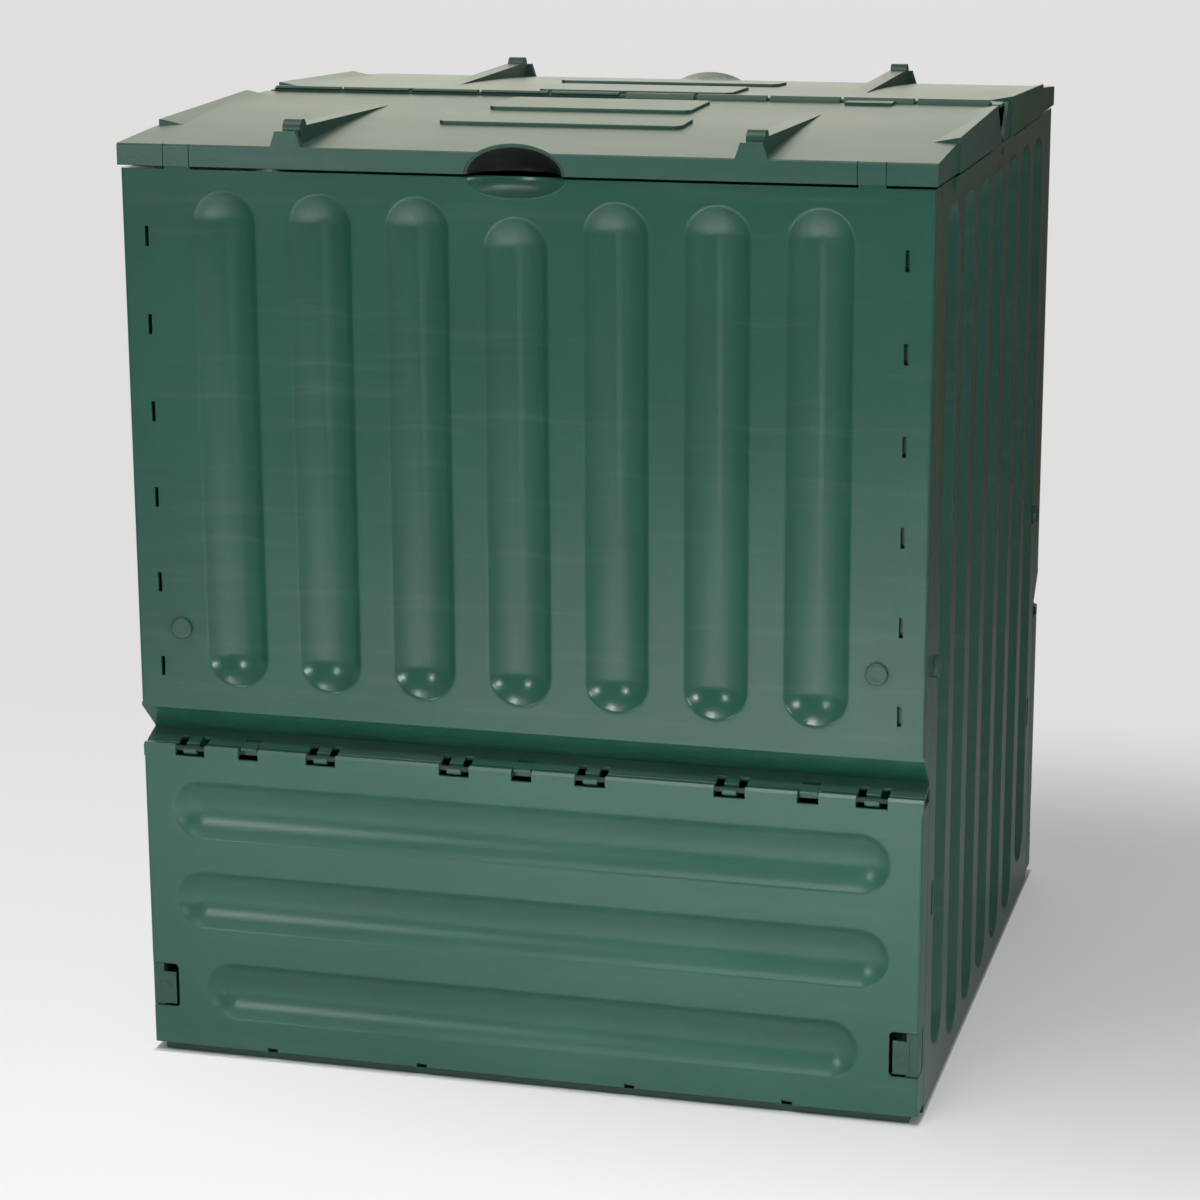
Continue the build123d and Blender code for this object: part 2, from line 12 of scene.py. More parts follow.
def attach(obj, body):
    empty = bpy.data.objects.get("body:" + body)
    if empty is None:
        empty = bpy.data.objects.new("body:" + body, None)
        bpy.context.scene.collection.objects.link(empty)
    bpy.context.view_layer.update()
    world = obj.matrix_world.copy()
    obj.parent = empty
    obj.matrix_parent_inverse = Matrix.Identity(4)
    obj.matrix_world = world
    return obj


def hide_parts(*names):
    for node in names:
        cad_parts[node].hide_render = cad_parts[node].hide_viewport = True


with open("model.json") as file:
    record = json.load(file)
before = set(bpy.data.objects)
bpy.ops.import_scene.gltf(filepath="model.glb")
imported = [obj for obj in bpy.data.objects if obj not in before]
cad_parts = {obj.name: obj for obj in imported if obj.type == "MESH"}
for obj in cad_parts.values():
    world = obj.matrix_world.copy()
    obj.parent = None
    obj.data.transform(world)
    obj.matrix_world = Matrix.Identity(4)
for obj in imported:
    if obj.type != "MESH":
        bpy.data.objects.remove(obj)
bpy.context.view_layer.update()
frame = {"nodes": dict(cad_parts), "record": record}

LOG = logging.getLogger("compost_bin")
Colour = tuple[float, float, float]
Spot = tuple[float, float, float]
FLOAT = "NodeSocketFloat"
SOFT_TURN = 60.0
STAND = Euler((math.pi / 2, 0, 0)).to_matrix().to_4x4()


class Side(Enum):
    """Turn about the upright axis that brings a front panel to each side, in degrees."""

    FRONT = 0.0
    RIGHT = 90.0
    REAR = 180.0
    LEFT = 270.0

    def turned(self) -> Matrix:
        """Matrix that carries a front panel to this side."""
        return Matrix.Rotation(math.radians(self.value), 4, "Z")


class Lay(Enum):
    """How a flute runs on its panel."""

    UPRIGHT = 0.0
    LEVEL = -90.0


def deselect_all() -> None:
    """Leave edit mode and clear the selection."""
    if bpy.context.object and bpy.context.object.mode != "OBJECT":
        bpy.ops.object.mode_set(mode="OBJECT")
    bpy.ops.object.select_all(action="DESELECT")


def make_active(piece: bpy.types.Object) -> None:
    """Select one object alone and make it active.

    Args:
        piece: Object to select.
    """
    deselect_all()
    piece.select_set(True)
    bpy.context.view_layer.objects.active = piece


def settle(piece: bpy.types.Object) -> None:
    """Put a piece's place into its mesh, so that its object sits at the origin."""
    make_active(piece)
    bpy.ops.object.transform_apply(location=True, rotation=True, scale=True)


def smooth(piece: bpy.types.Object, degrees: float) -> None:
    """Shade a piece smooth, apart from edges that turn by more than these degrees."""
    make_active(piece)
    bpy.ops.object.shade_smooth_by_angle(angle=math.radians(degrees))


def join(pieces: list[bpy.types.Object], name: str) -> bpy.types.Object:
    """Join pieces into one named object.

    Args:
        pieces: Objects to join, at least one.
        name: Name of the result.

    Returns:
        The joined object.
    """
    deselect_all()
    for piece in pieces:
        piece.select_set(True)
    bpy.context.view_layer.objects.active = pieces[0]
    if len(pieces) > 1:
        bpy.ops.object.join()
    result = bpy.context.view_layer.objects.active
    result.name = name
    result.data.name = name
    return result


def colour_ramp(nodes: bpy.types.Nodes, low: Colour, high: Colour, ends: tuple[float, float]) -> bpy.types.Node:
    """Add a ramp between two colours.

    Args:
        nodes: Nodes of the material.
        low: First colour.
        high: Last colour.
        ends: Places of the two colours on the ramp.

    Returns:
        The ramp node.
    """
    made = nodes.new("ShaderNodeValToRGB")
    for stop, place, colour in zip(made.color_ramp.elements, ends, (low, high)):
        stop.position = place
        stop.color = (*colour, 1.0)
    return made


class NodeGroups:
    """Shader groups that the plastics share, each built once."""

    _made: dict[str, bpy.types.NodeTree] = {}

    @classmethod
    def _start(cls, name: str, inputs: dict[str, float], outputs: list[str]) -> bpy.types.NodeTree:
        """Make an empty group with its sockets.

        Args:
            name: Group name.
            inputs: Name and default of each input value.
            outputs: Name of each value that the group puts out.

        Returns:
            The new node tree.
        """
        tree = bpy.data.node_groups.new(name, "ShaderNodeTree")
        for label, value in inputs.items():
            socket = tree.interface.new_socket(label, in_out="INPUT", socket_type=FLOAT)
            socket.default_value = value
        for label in outputs:
            tree.interface.new_socket(label, in_out="OUTPUT", socket_type=FLOAT)
        tree.nodes.new("NodeGroupInput").name = "in"
        tree.nodes.new("NodeGroupOutput").name = "out"
        cls._made[name] = tree
        return tree

    @classmethod
    def mould_grain(cls) -> bpy.types.NodeTree:
        """Build fine spark-eroded grain with slow flow ripples, as a height, and mottling.

        Returns:
            The node group.
        """
        if "mould_grain" in cls._made:
            return cls._made["mould_grain"]
        inputs = {"Grain Scale": 900.0, "Ripple Scale": 14.0, "Ripple": 0.35}
        tree = cls._start("mould_grain", inputs, ["Height", "Mottle"])
        nodes, links = tree.nodes, tree.links
        where = nodes.new("ShaderNodeTexCoord")
        grain = nodes.new("ShaderNodeTexNoise")
        grain.inputs["Detail"].default_value = 3.0
        ripple = nodes.new("ShaderNodeTexNoise")
        ripple.inputs["Detail"].default_value = 2.0
        mottle = nodes.new("ShaderNodeTexNoise")
        mottle.inputs["Scale"].default_value = 5.0
        mottle.inputs["Detail"].default_value = 4.0
        mix = nodes.new("ShaderNodeMath")
        mix.operation = "MULTIPLY_ADD"
        for texture in (grain, ripple, mottle):
            links.new(where.outputs["Object"], texture.inputs["Vector"])
        links.new(nodes["in"].outputs["Grain Scale"], grain.inputs["Scale"])
        links.new(nodes["in"].outputs["Ripple Scale"], ripple.inputs["Scale"])
        links.new(ripple.outputs["Fac"], mix.inputs[0])
        links.new(nodes["in"].outputs["Ripple"], mix.inputs[1])
        links.new(grain.outputs["Fac"], mix.inputs[2])
        links.new(mix.outputs["Value"], nodes["out"].inputs["Height"])
        links.new(mottle.outputs["Fac"], nodes["out"].inputs["Mottle"])
        return tree

    @classmethod
    def weather(cls) -> bpy.types.NodeTree:
        """Build dust with painted sheen on faces that look up, and level flow streaks, as two masks.

        Returns:
            The node group.
        """
        if "weather" in cls._made:
            return cls._made["weather"]
        tree = cls._start("weather", {"Dust": 0.3, "Scuff": 0.2}, ["Dust Mask", "Scuff Mask"])
        nodes, links = tree.nodes, tree.links
        where = nodes.new("ShaderNodeTexCoord")
        shape = nodes.new("ShaderNodeNewGeometry")
        up = nodes.new("ShaderNodeSeparateXYZ")
        cloud = nodes.new("ShaderNodeTexNoise")
        cloud.inputs["Scale"].default_value = 9.0
        cloud.inputs["Detail"].default_value = 8.0
        rise = nodes.new("ShaderNodeMapRange")
        rise.inputs["From Min"].default_value = 0.35
        rise.inputs["From Max"].default_value = 1.0
        patch = nodes.new("ShaderNodeMath")
        patch.operation = "MULTIPLY"
        amount = nodes.new("ShaderNodeMath")
        amount.operation = "MULTIPLY"
        flat = nodes.new("ShaderNodeMapping")
        flat.inputs["Scale"].default_value = (4.0, 4.0, 55.0)
        streak = nodes.new("ShaderNodeTexNoise")
        streak.inputs["Scale"].default_value = 1.0
        streak.inputs["Detail"].default_value = 4.0
        streak.inputs["Roughness"].default_value = 0.6
        sparse = nodes.new("ShaderNodeMapRange")
        sparse.interpolation_type = "SMOOTHSTEP"
        sparse.inputs["From Min"].default_value = 0.52
        sparse.inputs["From Max"].default_value = 0.82
        scuff = nodes.new("ShaderNodeMath")
        scuff.operation = "MULTIPLY"
        links.new(where.outputs["Object"], cloud.inputs["Vector"])
        links.new(where.outputs["Object"], flat.inputs["Vector"])
        links.new(flat.outputs["Vector"], streak.inputs["Vector"])
        links.new(shape.outputs["Normal"], up.inputs["Vector"])
        links.new(up.outputs["Z"], rise.inputs["Value"])
        links.new(rise.outputs["Result"], patch.inputs[0])
        links.new(cloud.outputs["Fac"], patch.inputs[1])
        links.new(patch.outputs["Value"], amount.inputs[0])
        links.new(nodes["in"].outputs["Dust"], amount.inputs[1])
        links.new(streak.outputs["Fac"], sparse.inputs["Value"])
        links.new(sparse.outputs["Result"], scuff.inputs[0])
        links.new(nodes["in"].outputs["Scuff"], scuff.inputs[1])
        links.new(amount.outputs["Value"], nodes["out"].inputs["Dust Mask"])
        links.new(scuff.outputs["Value"], nodes["out"].inputs["Scuff Mask"])
        return tree


@dataclass(frozen=True)
class MouldedPlastic:
    """Green moulded plastic with grain, mottling, dust with painted sheen on faces that look up, and scuffs."""

    name: str
    deep: Colour
    pale: Colour
    dust_and_sheen_colour: Colour
    roughness: float
    dust_and_sheen_share: float = 0.3
    scuff: float = 0.1
    ripple: float = 0.35
    bump: float = 0.2
    bump_depth: float = 0.0006
    grain: float = 420.0
    polish: float = 0.03
    wear: float = 0.025
    index: float = 1.56
    tint_ends: tuple[float, float] = (0.3, 0.7)

    def material(self) -> bpy.types.Material:
        """Build the finish's material, or find it if it is built.

        Returns:
            The material.
        """
        found = bpy.data.materials.get(self.name)
        if found:
            return found
        made = bpy.data.materials.new(self.name)
        made.use_nodes = True
        nodes, links = made.node_tree.nodes, made.node_tree.links
        shader = nodes["Principled BSDF"]
        shader.inputs["IOR"].default_value = self.index
        grain = nodes.new("ShaderNodeGroup")
        grain.node_tree = NodeGroups.mould_grain()
        grain.inputs["Ripple"].default_value = self.ripple
        grain.inputs["Grain Scale"].default_value = self.grain
        weather = nodes.new("ShaderNodeGroup")
        weather.node_tree = NodeGroups.weather()
        weather.inputs["Dust"].default_value = self.dust_and_sheen_share
        weather.inputs["Scuff"].default_value = self.scuff
        tint = colour_ramp(nodes, self.deep, self.pale, self.tint_ends)
        # Lightens faces that look up: partly dust, partly painted sheen.
        dusted_and_sheened = nodes.new("ShaderNodeMix")
        dusted_and_sheened.data_type = "RGBA"
        dusted_and_sheened.inputs["B"].default_value = (*self.dust_and_sheen_colour, 1.0)
        scuffed = nodes.new("ShaderNodeMix")
        scuffed.data_type = "RGBA"
        scuffed.inputs["B"].default_value = (*self.dust_and_sheen_colour, 1.0)
        rough = nodes.new("ShaderNodeMapRange")
        rough.inputs["To Min"].default_value = self.roughness - self.polish
        rough.inputs["To Max"].default_value = self.roughness + self.wear
        bump = nodes.new("ShaderNodeBump")
        bump.inputs["Strength"].default_value = self.bump
        bump.inputs["Distance"].default_value = self.bump_depth
        links.new(grain.outputs["Mottle"], tint.inputs["Fac"])
        links.new(tint.outputs["Color"], dusted_and_sheened.inputs["A"])
        links.new(weather.outputs["Dust Mask"], dusted_and_sheened.inputs["Factor"])
        links.new(dusted_and_sheened.outputs["Result"], scuffed.inputs["A"])
        links.new(weather.outputs["Scuff Mask"], scuffed.inputs["Factor"])
        links.new(scuffed.outputs["Result"], shader.inputs["Base Color"])
        links.new(grain.outputs["Mottle"], rough.inputs["Value"])
        links.new(rough.outputs["Result"], shader.inputs["Roughness"])
        links.new(grain.outputs["Height"], bump.inputs["Height"])
        links.new(bump.outputs["Normal"], shader.inputs["Normal"])
        return made

    def dress(self, piece: bpy.types.Object) -> None:
        """Give a piece this finish alone."""
        piece.data.materials.clear()
        piece.data.materials.append(self.material())


PALE_DUST = (0.20, 0.24, 0.20)
WALL = MouldedPlastic("wall_plastic", (0.013, 0.086, 0.060), (0.018, 0.103, 0.073), PALE_DUST, 0.24)
# Flap green, made lighter than the wall's to stand in for floor-bounce light on the low flaps: partly its own colour,
# partly painted light.
FLAP_PAINTED_BOUNCE = MouldedPlastic("flap_plastic_painted_bounce", (0.022, 0.108, 0.076), (0.028, 0.126, 0.090), PALE_DUST, 0.31)
# Lid finish: its heavy pale dust on the upward faces is partly real dust and partly painted sheen.
LID = MouldedPlastic(
    "lid_plastic",
    (0.019, 0.092, 0.066),
    (0.027, 0.110, 0.080),
    (0.22, 0.26, 0.17),
    0.36,
    dust_and_sheen_share=0.55,
    bump=0.4,
    grain=330.0,
)
LATCH = MouldedPlastic("latch_plastic", (0.018, 0.080, 0.058), (0.024, 0.096, 0.070), PALE_DUST, 0.33)
# Darker copy of the green plastic for the dark_green slot: painted shade on inner pieces that sit in shade.
SHADED_INNER = MouldedPlastic("inner_plastic_painted_shade", (0.020, 0.062, 0.046), (0.027, 0.078, 0.058), (0.12, 0.15, 0.12), 0.48)
# Darker, rougher copy of the green plastic: painted shade on the hinge pins, which sit in the shaded notches.
SHADED_PIN = MouldedPlastic("pin_painted_shade", (0.012, 0.034, 0.026), (0.017, 0.043, 0.034), (0.05, 0.06, 0.05), 0.62)
# Near-black lining colour: painted shade inside the lid's hand recess.
PAINTED_RECESS_SHADE = MouldedPlastic("recess_painted_shade", (0.010, 0.014, 0.013), (0.015, 0.019, 0.018), (0.03, 0.03, 0.03), 0.5)
PLUG = MouldedPlastic("plug_plastic", (0.027, 0.088, 0.066), (0.035, 0.104, 0.078), PALE_DUST, 0.38)
FINISHES = {"wall_green": WALL, "flap_green": FLAP_PAINTED_BOUNCE, "lid_green": LID, "dark_green": SHADED_INNER, "plug_green": PLUG}


def slot_of(node: str) -> str:
    """Look up the material slot that the record gives a node.

    Args:
        node: Node name.

    Returns:
        The slot's name.
    """
    for entry in frame["record"]["subparts"]:
        if entry["node"] == node:
            return entry["material_slot"]
    raise KeyError(node)


def body_of(node: str) -> str:
    """Look up the body that carries a node.

    Args:
        node: Node name.

    Returns:
        The body's name.
    """
    for body, members in frame["record"]["behaviour"]["bodies"].items():
        if node in members:
            return body
    raise KeyError(node)


@dataclass
class RoundedSkin:
    """Copy of a moulding with its sharp edges rounded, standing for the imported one."""

    node: str
    edge: float = 0.0011
    segments: int = 3
    limit: float = 50.0
    blunt: float = 140.0
    margin: float = 2.4
    long: float = 0.06
    shortest: float = 0.006
    merge: float = 0.00002
    flat: float = 0.6
    smooth_turn: float = 35.0
    face_weight: int = 100
    finish: MouldedPlastic | None = None

    def pick_edges(self, piece: bpy.types.Object, shortest: float) -> int:
        """Select the outer edges that a mould rounds, apart from those that end at a small facet.

        Args:
            piece: Merged copy of the moulding.
            shortest: Least length of an edge to pick.

        Returns:
            How many edges were picked.
        """
        mesh = piece.data
        faces: dict[tuple[int, int], list[int]] = {}
        for face in mesh.polygons:
            face.select = False
            for key in face.edge_keys:
                faces.setdefault(key, []).append(face.index)
        room = [shortest] * len(mesh.vertices)
        longs: list[float] = []
        for edge in mesh.edges:
            ends = [mesh.vertices[k].co for k in edge.vertices]
            longs.append((ends[1] - ends[0]).length)
            for k in edge.vertices:
                room[k] = min(room[k], longs[-1])
        for vertex in mesh.vertices:
            vertex.select = False
        picked = 0
        for edge in mesh.edges:
            edge.select = False
            pair = faces.get(tuple(sorted(edge.vertices)), [])
            if len(pair) != 2 or longs[edge.index] < shortest:
                continue
            one, two = (mesh.polygons[k] for k in pair)
            turn = math.degrees(one.normal.angle(two.normal, 0.0))
            outer = (two.center - one.center).dot(one.normal) < 0.0
            free = min(room[k] for k in edge.vertices) > self.margin * self.edge
            edge.select = outer and free and self.limit < turn < self.blunt
            picked += edge.select
        LOG.info("%s: %d edges to round", piece.name, picked)
        return picked

    def build(self) -> bpy.types.Object:
        """Merge, flatten, bevel and dress the copy.

        Returns:
            The finished piece, riding on the node's body.
        """
        source = frame["nodes"][self.node]
        piece = bpy.data.objects.new(self.node + "_skin", source.data.copy())
        bpy.context.scene.collection.objects.link(piece)
        make_active(piece)
        bpy.ops.object.mode_set(mode="EDIT")
        bpy.ops.mesh.select_all(action="SELECT")
        bpy.ops.mesh.remove_doubles(threshold=self.merge)
        bpy.ops.mesh.dissolve_limited(angle_limit=math.radians(self.flat))
        bpy.ops.object.mode_set(mode="OBJECT")
        if piece.data.has_custom_normals:
            bpy.ops.mesh.customdata_custom_splitnormals_clear()
        bpy.context.tool_settings.mesh_select_mode = (False, True, False)
        for shortest in (self.long, self.shortest):
            if self.pick_edges(piece, shortest):
                bpy.ops.object.mode_set(mode="EDIT")
                bpy.ops.mesh.bevel(offset=self.edge, segments=self.segments, affect="EDGES", clamp_overlap=True)
                bpy.ops.mesh.select_all(action="SELECT")
                bpy.ops.mesh.dissolve_degenerate(threshold=self.merge)
                bpy.ops.object.mode_set(mode="OBJECT")
        smooth(piece, self.smooth_turn)
        bpy.ops.object.modifier_add(type="WEIGHTED_NORMAL")
        weighted = piece.modifiers[-1]
        weighted.keep_sharp = True
        weighted.weight = self.face_weight
        bpy.ops.object.modifier_apply(modifier=weighted.name)
        slot = slot_of(self.node)
        (self.finish or FINISHES[slot]).dress(piece)
        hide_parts(self.node)
        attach(piece, body_of(self.node))
        return piece


@dataclass(frozen=True)
class FluteDish:
    """Smooth lining of one flute: a rolled lip running into a round trough with bowl ends."""

    reach: float
    lip: float
    lean: float
    ring_points: int = 48
    lip_steps: int = 4
    bowl_steps: int = 8
    apron: float = 0.0011
    proud: float = 0.00006
    floor_drop: float = 0.0001
    floor_share: float = 0.3

    def section(self) -> list[tuple[float, float]]:
        """Work out the rings from the lip to the floor.

        Returns:
            Radius and depth of each ring.
        """
        top = math.radians(self.lean)
        bowl = self.reach / math.sin(top) - self.lip
        deep = (self.lip + bowl) * (1.0 - math.cos(top))
        rings = []
        for k in range(self.lip_steps + 1):
            turn = top * k / self.lip_steps
            rings.append((self.reach - self.lip * math.sin(turn), self.lip * (1.0 - math.cos(turn))))
        for k in range(1, self.bowl_steps):
            turn = top * (1.0 - k / self.bowl_steps)
            rings.append((bowl * math.sin(turn), deep - bowl * (1.0 - math.cos(turn))))
        return rings

    def build(self, long: float) -> bpy.types.Object:
        """Model the dish lying in XY, opening along Z, its long way along Y and its middle at the origin.

        Args:
            long: Overall length of the flute.

        Returns:
            The dish, not yet placed.
        """
        deselect_all()
        rings = self.section()
        first = rings[0][0] + self.apron
        turn = math.pi / self.ring_points
        bpy.ops.mesh.primitive_circle_add(
            vertices=self.ring_points, radius=first, fill_type="NOTHING", rotation=(0, 0, turn)
        )
        dish = bpy.context.object
        settle(dish)
        bpy.ops.object.mode_set(mode="EDIT")
        bpy.ops.mesh.select_all(action="SELECT")
        bpy.ops.transform.translate(value=(0, 0, self.proud))
        last_r, last_z = first, self.proud
        for radius, depth in rings:
            bpy.ops.mesh.extrude_region_move(TRANSFORM_OT_translate={"value": (0, 0, -depth - last_z)})
            share = radius / last_r
            bpy.ops.transform.resize(value=(share, share, 1.0), center_override=(0, 0, -depth))
            last_r, last_z = radius, -depth
        bpy.ops.mesh.extrude_region_move(TRANSFORM_OT_translate={"value": (0, 0, -self.floor_drop)})
        bpy.ops.transform.resize(value=(self.floor_share, self.floor_share, 1.0), center_override=(0, 0, last_z))
        bpy.ops.mesh.edge_face_add()
        bpy.ops.object.mode_set(mode="OBJECT")
        half = long / 2.0 - self.reach
        bpy.context.tool_settings.mesh_select_mode = (True, False, False)
        for sign in (-1.0, 1.0):
            for vertex in dish.data.vertices:
                vertex.select = vertex.co.y * sign > 0.0
            bpy.ops.object.mode_set(mode="EDIT")
            bpy.ops.transform.translate(value=(0, sign * half, 0))
            bpy.ops.mesh.select_all(action="DESELECT")
            bpy.ops.object.mode_set(mode="OBJECT")
        bpy.ops.object.mode_set(mode="EDIT")
        bpy.ops.mesh.select_all(action="SELECT")
        bpy.ops.mesh.normals_make_consistent(inside=False)
        bpy.ops.object.mode_set(mode="OBJECT")
        if sum(p.normal.z for p in dish.data.polygons) < 0.0:
            bpy.ops.object.mode_set(mode="EDIT")
            bpy.ops.mesh.select_all(action="SELECT")
            bpy.ops.mesh.flip_normals()
            bpy.ops.object.mode_set(mode="OBJECT")
        return dish


@dataclass
class HandScoop:
    """Half of a shallow oval bowl that lines a hand recess."""

    node: str
    name: str
    side: Side
    dish: FluteDish
    tall: float
    out: float
    level: float
    upper: bool
    finish: MouldedPlastic
    shell: float = 0.0012

    def build(self) -> bpy.types.Object:
        """Model a round bowl, squash it to an oval, keep one half and place it.

        Returns:
            The lining, riding on its node's body.
        """
        bowl = self.dish.build(2.0 * self.dish.reach)
        make_active(bowl)
        bpy.ops.object.mode_set(mode="EDIT")
        bpy.ops.mesh.select_all(action="SELECT")
        squash = (1.0, self.tall / self.dish.reach, 1.0)
        bpy.ops.transform.resize(value=squash, center_override=(0, 0, 0))
        bpy.ops.mesh.bisect(
            plane_co=(0, 0, 0), plane_no=(0, 1, 0), clear_inner=self.upper, clear_outer=not self.upper
        )
        bpy.ops.object.mode_set(mode="OBJECT")
        spot = Matrix.Translation((0.0, -self.out, self.level))
        bowl.matrix_world = self.side.turned() @ spot @ STAND
        settle(bowl)
        bowl.name = self.name
        bowl.data.name = self.name
        smooth(bowl, SOFT_TURN)
        self.finish.dress(bowl)
        bowl.data.materials.append(FINISHES[slot_of(self.node)].material())
        make_active(bowl)
        bpy.ops.object.modifier_add(type="SOLIDIFY")
        shell = bowl.modifiers[-1]
        shell.thickness = self.shell
        shell.offset = -1.0
        shell.material_offset = 1
        bpy.ops.object.modifier_apply(modifier=shell.name)
        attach(bowl, body_of(self.node))
        return bowl


@dataclass
class FluteSet:
    """All flute linings of one panel."""

    node: str
    side: Side
    lay: Lay
    out: float
    dish: FluteDish
    rows: list[tuple[float, float, float]]

    def build(self) -> bpy.types.Object:
        """Model each length once, copy it to its places and join the copies.

        Returns:
            The joined linings, riding on the panel's body.
        """
        masters: dict[float, bpy.types.Object] = {}
        placed = []
        roll = Matrix.Rotation(math.radians(self.lay.value), 4, "Z")
        for across, low, high in self.rows:
            long = round(high - low, 6)
            if long not in masters:
                masters[long] = self.dish.build(long)
            copy = masters[long].copy()
            copy.data = masters[long].data.copy()
            bpy.context.scene.collection.objects.link(copy)
            middle = (low + high) / 2.0
            x, z = (across, middle) if self.lay is Lay.UPRIGHT else (middle, across)
            spot = Matrix.Translation((x, -self.out, z))
            copy.matrix_world = self.side.turned() @ spot @ STAND @ roll
            settle(copy)
            placed.append(copy)
        for master in masters.values():
            bpy.data.objects.remove(master)
        piece = join(placed, self.node + "_flutes")
        smooth(piece, SOFT_TURN)
        slot = slot_of(self.node)
        FINISHES[slot].dress(piece)
        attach(piece, body_of(self.node))
        return piece


@dataclass
class Panels:
    """Fluted walls and flaps."""

    half: float = 0.400
    edge: float = 0.106
    count: int = 7
    top: float = 0.897
    wall_low: float = 0.3985
    dish_drop: float = 0.017
    foot: float = 0.019
    corner_foot: float = 0.045
    flap_first: float = 0.266
    flap_pitch: float = 0.0966
    flap_edge: float = 0.029
    flap_count: int = 3
    tall: FluteDish = FluteDish(reach=0.0334, lip=0.0042, lean=44.0)
    flat: FluteDish = FluteDish(reach=0.0319, lip=0.0042, lean=42.0)
    walls: tuple[tuple[str, Side], ...] = (
        ("front_wall", Side.FRONT),
        ("rear_wall", Side.REAR),
        ("right_wall", Side.RIGHT),
        ("left_wall", Side.LEFT),
    )
    flaps: tuple[tuple[str, Side], ...] = (("front_flap", Side.FRONT), ("rear_flap", Side.REAR))

    def places(self) -> list[float]:
        """Centres of the upright flutes across a panel."""
        pitch = (2 * self.half - 2 * self.edge) / (self.count - 1)
        return [(k - (self.count - 1) / 2) * pitch for k in range(self.count)]

    def wall_rows(self) -> list[tuple[float, float, float]]:
        """Lay out the flutes of the front and rear walls.

        Returns:
            Place across, low end and high end of each.
        """
        rows = []
        for k, x in enumerate(self.places()):
            drop = self.dish_drop if k == self.count // 2 else 0.0
            rows.append((x, self.wall_low, self.top - drop))
        return rows

    def side_rows(self) -> list[tuple[float, float, float]]:
        """Lay out the flutes of the side walls.

        Returns:
            Place across, low end and high end of each.
        """
        places = self.places()
        ends = (places[0], places[-1])
        return [(y, self.corner_foot if y in ends else self.foot, self.top) for y in places]

    def flap_rows(self) -> list[tuple[float, float, float]]:
        """Lay out the flutes of a flap.

        Returns:
            Place across, low end and high end of each.
        """
        rows = []
        for k in range(self.flap_count):
            end = self.half - self.flap_edge * (2 if k == self.flap_count - 1 else 1)
            rows.append((self.flap_first - k * self.flap_pitch, -end, end))
        return rows

    def build(self) -> list[bpy.types.Object]:
        """Build the skins and the flute linings of every panel.

        Returns:
            The finished pieces.
        """
        pieces = []
        for node, side in self.walls:
            rows = self.side_rows() if side in (Side.RIGHT, Side.LEFT) else self.wall_rows()
            pieces.append(RoundedSkin(node).build())
            pieces.append(FluteSet(node, side, Lay.UPRIGHT, self.half, self.tall, rows).build())
        for node, side in self.flaps:
            pieces.append(RoundedSkin(node).build())
            pieces.append(FluteSet(node, side, Lay.LEVEL, self.half, self.flat, self.flap_rows()).build())
        return pieces


@dataclass
class Lids:
    """Two lid halves and the linings of their hand recesses."""

    edge: float = 0.0012
    scoop: FluteDish = FluteDish(reach=0.0484, lip=0.003, lean=76.0, bowl_steps=12)
    scoop_tall: float = 0.0274
    lid_out: float = 0.403
    lid_low: float = 0.919
    dish: FluteDish = FluteDish(reach=0.0498, lip=0.004, lean=34.0, bowl_steps=10)
    dish_tall: float = 0.0203
    wall_out: float = 0.400
    wall_top: float = 0.916

    def build(self) -> list[bpy.types.Object]:
        """Build both lid skins, their scoops and the dishes in the walls below.

        Returns:
            The finished pieces.
        """
        pieces = []
        for end, side in (("front", Side.FRONT), ("rear", Side.REAR)):
            lid, wall = end + "_lid", end + "_wall"
            # The lid scoop's inner face is painted shade; its outer face takes the lid's green.
            scoop = HandScoop(
                node=lid,
                name=lid + "_scoop",
                side=side,
                dish=self.scoop,
                tall=self.scoop_tall,
                out=self.lid_out,
                level=self.lid_low,
                upper=True,
                finish=PAINTED_RECESS_SHADE,
            )
            dish = HandScoop(
                node=wall,
                name=wall + "_scoop",
                side=side,
                dish=self.dish,
                tall=self.dish_tall,
                out=self.wall_out,
                level=self.wall_top,
                upper=False,
                finish=WALL,
            )
            pieces.append(RoundedSkin(lid, edge=self.edge).build())
            pieces.append(scoop.build())
            pieces.append(dish.build())
        return pieces


